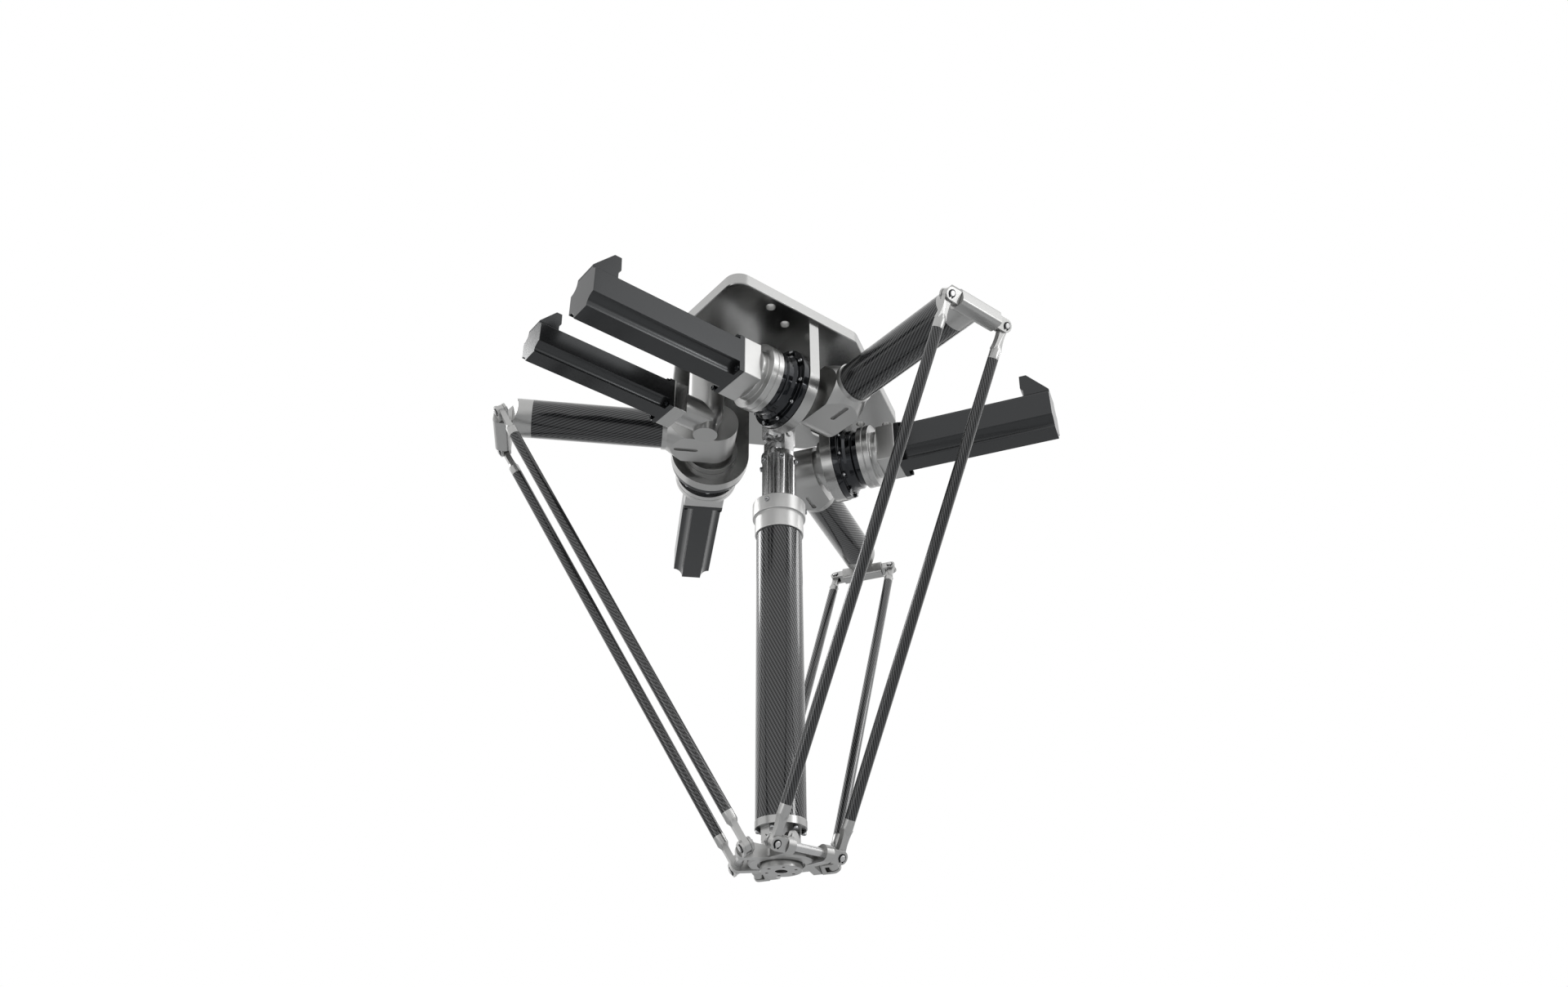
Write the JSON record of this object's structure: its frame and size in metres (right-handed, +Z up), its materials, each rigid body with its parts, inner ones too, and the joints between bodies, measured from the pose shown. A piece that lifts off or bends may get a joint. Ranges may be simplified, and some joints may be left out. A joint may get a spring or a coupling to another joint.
{
  "type": "delta robot",
  "caption": "Ceiling-hung delta robot with carbon arms and paired rods, servo drives and a telescopic turning shaft to a round tool flange.",
  "frame": {"origin": "middle of the ceiling bolt patterns in the base plate's top face", "axes": "+Z up out of the base plate's top face, +X along the first arm"},
  "size_m": [1.073, 1.0411, 0.9769],
  "materials": {
    "machined_aluminium": "satin",
    "cast_aluminium": "satin",
    "polished_steel": "gloss",
    "brushed_steel": "satin",
    "black_gear_steel": "gloss",
    "motor_black": "matte",
    "carbon_fibre": "gloss",
    "screw_steel": "satin"
  },
  "bodies": {
    "base": {"base_plate": "machined_aluminium", "bracket_1": "machined_aluminium", "bracket_2": "machined_aluminium", "bracket_3": "machined_aluminium", "bracket_screws": "screw_steel", "flange_screws": "screw_steel", "gearbox_1": "black_gear_steel", "gearbox_2": "black_gear_steel", "gearbox_3": "black_gear_steel", "input_ring_1": "machined_aluminium", "input_ring_2": "machined_aluminium", "input_ring_3": "machined_aluminium", "motor_1": "motor_black", "motor_2": "motor_black", "motor_3": "motor_black", "motor_cover_1": "motor_black", "motor_cover_2": "motor_black", "motor_cover_3": "motor_black", "motor_screws": "screw_steel", "spindle_housing": "machined_aluminium", "turn_adapter": "machined_aluminium", "turn_gearbox": "cast_aluminium", "turn_motor": "motor_black", "turn_motor_cover": "motor_black"},
    "arm_1": {"arm_hub_1": "cast_aluminium", "arm_tube_1": "carbon_fibre", "elbow_cap_1": "machined_aluminium"},
    "forearm_1": {"cross_bar_1": "brushed_steel", "joint_pins_1": "screw_steel", "low_clevises_1": "brushed_steel", "rod_ends_1": "machined_aluminium", "rod_left_1": "carbon_fibre", "rod_right_1": "carbon_fibre"},
    "arm_2": {"arm_hub_2": "cast_aluminium", "arm_tube_2": "carbon_fibre", "elbow_cap_2": "machined_aluminium"},
    "forearm_2": {"cross_bar_2": "brushed_steel", "joint_pins_2": "screw_steel", "low_clevises_2": "brushed_steel", "rod_ends_2": "machined_aluminium", "rod_left_2": "carbon_fibre", "rod_right_2": "carbon_fibre"},
    "arm_3": {"arm_hub_3": "cast_aluminium", "arm_tube_3": "carbon_fibre", "elbow_cap_3": "machined_aluminium"},
    "forearm_3": {"cross_bar_3": "brushed_steel", "joint_pins_3": "screw_steel", "low_clevises_3": "brushed_steel", "rod_ends_3": "machined_aluminium", "rod_left_3": "carbon_fibre", "rod_right_3": "carbon_fibre"},
    "platform_body": {"axles": "polished_steel", "platform": "cast_aluminium"},
    "shaft_upper": {"guide_rods": "polished_steel", "upper_joint": "polished_steel"},
    "shaft_lower": {"collar": "machined_aluminium", "end_ring": "machined_aluminium", "end_screws": "screw_steel", "shaft_tube": "carbon_fibre", "tool_flange": "brushed_steel"}
  },
  "joints": [
    {"name": "shoulder_1", "type": "hinge", "parent": "base", "child": "arm_1", "pos_m": [0.1275, 0, -0.141], "axis": [0, 1, 0], "range_deg": [-5, 30]},
    {"name": "elbow_1", "type": "hinge", "parent": "arm_1", "child": "forearm_1", "pos_m": [0.5265, 0, -0.1738], "axis": [0, 1, 0], "range_deg": [-34.6, 5.9]},
    {"name": "shoulder_2", "type": "hinge", "parent": "base", "child": "arm_2", "pos_m": [-0.06375, -0.11042, -0.141], "axis": [0.866, -0.5, 0], "range_deg": [-5, 30]},
    {"name": "elbow_2", "type": "hinge", "parent": "arm_2", "child": "forearm_2", "pos_m": [-0.26325, -0.45596, -0.1738], "axis": [0.866, -0.5, 0], "range_deg": [-34.6, 5.9]},
    {"name": "shoulder_3", "type": "hinge", "parent": "base", "child": "arm_3", "pos_m": [-0.06375, 0.11042, -0.141], "axis": [-0.866, -0.5, 0], "range_deg": [-5, 30]},
    {"name": "elbow_3", "type": "hinge", "parent": "arm_3", "child": "forearm_3", "pos_m": [-0.26325, 0.45596, -0.1738], "axis": [-0.866, -0.5, 0], "range_deg": [-34.6, 5.9]},
    {"name": "platform_lift", "type": "slide", "parent": "base", "child": "platform_body", "axis": [0, 0, -1], "range_m": [-0.0387, 0.2317]},
    {"name": "shaft_spin", "type": "hinge", "parent": "base", "child": "shaft_upper", "pos_m": [0, 0, 0], "axis": [0, 0, 1], "continuous": true},
    {"name": "shaft_slide", "type": "slide", "parent": "shaft_upper", "child": "shaft_lower", "axis": [0, 0, -1], "range_m": [-0.0387, 0.2317]}
  ],
  "couplings": [
    {"joint": "elbow_1", "follows": "shoulder_1", "ratio": -1.1462},
    {"joint": "shoulder_2", "follows": "shoulder_1", "ratio": 1},
    {"joint": "elbow_2", "follows": "shoulder_1", "ratio": -1.1462},
    {"joint": "shoulder_3", "follows": "shoulder_1", "ratio": 1},
    {"joint": "elbow_3", "follows": "shoulder_1", "ratio": -1.1462},
    {"joint": "platform_lift", "follows": "shoulder_1", "m_per_rad": 0.44229},
    {"joint": "shaft_slide", "follows": "shoulder_1", "m_per_rad": 0.44229}
  ]
}
